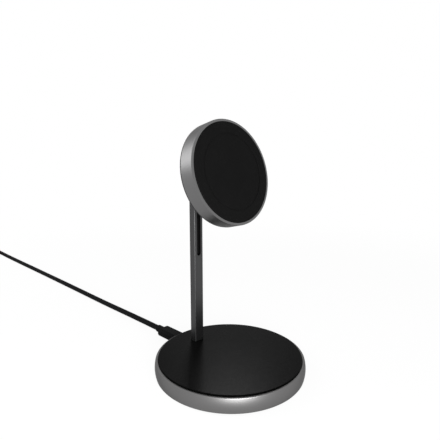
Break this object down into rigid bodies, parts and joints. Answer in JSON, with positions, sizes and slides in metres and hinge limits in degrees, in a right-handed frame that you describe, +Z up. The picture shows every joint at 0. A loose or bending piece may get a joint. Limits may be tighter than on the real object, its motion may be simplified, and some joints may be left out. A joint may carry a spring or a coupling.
{
  "type": "two-in-one magnetic wireless charger",
  "caption": "Desk charging stand: round weighted base with a soft charging pad, slotted stem, and a round magnetic charging head that slides along the stem and tilts on a friction hinge.",
  "frame": {"origin": "on the table under the middle of the round base", "axes": "+Z up, -Y towards the user at the front, +X to the right seen from the front"},
  "size_m": [0.105, 0.4978, 0.1558],
  "materials": {
    "rim_metal": "satin grey anodised",
    "head_metal": "satin grey anodised",
    "stem_metal": "satin dark anodised",
    "pad_soft": "matt soft touch",
    "black_plastic": "fine moulded texture",
    "inner_plastic": "moulded",
    "steel": "plain",
    "weight_steel": "zinc plated",
    "copper": "enamelled wire",
    "ferrite": "matt",
    "board": "solder mask",
    "magnet": "nickel plated",
    "cable_jacket": "satin",
    "foot_rubber": "matt"
  },
  "bodies": {
    "base": {"base_rim": "rim_metal", "charging_pad": "pad_soft", "pad_deck": "inner_plastic", "pad_coil": "copper", "pad_ferrite": "ferrite", "base_board": "board", "board_parts": "black_plastic", "socket_shell": "steel", "socket_tongue": "black_plastic", "base_weight": "weight_steel", "bottom_cover": "black_plastic", "cover_screws": "steel", "foot_ring": "foot_rubber", "stem": "stem_metal", "stem_foot": "weight_steel", "stem_screws": "steel", "stem_cap": "stem_metal", "stem_lead": "black_plastic", "plug_body": "cable_jacket", "plug_tip": "steel", "cable": "cable_jacket", "cable_coil": "cable_jacket", "coil_tie": "cable_jacket", "cable_tail": "cable_jacket", "far_plug_body": "cable_jacket", "far_plug_tip": "steel"},
    "carriage": {"slide_block": "black_plastic", "brake_spring": "steel", "slide_shoe": "black_plastic", "arm": "stem_metal", "arm_screws": "steel"},
    "head": {"hinge_pin": "steel", "hinge_washers": "black_plastic", "hinge_bracket": "stem_metal", "bracket_screws": "steel", "head_back": "black_plastic", "head_rim": "head_metal", "head_board": "board", "head_parts": "black_plastic", "head_tray": "inner_plastic", "magnet_yoke": "weight_steel", "ring_magnets": "magnet", "head_ferrite": "ferrite", "head_coil": "copper", "head_face": "pad_soft"}
  },
  "joints": [
    {"name": "head_height", "type": "slide", "parent": "base", "child": "carriage", "axis": [0, 0, 1], "range_m": [-0.044, 0.008]},
    {"name": "head_tilt", "type": "hinge", "parent": "carriage", "child": "head", "pos_m": [0, 0.01425, 0.1212], "axis": [-1, 0, 0], "range_deg": [-15, 20]}
  ]
}
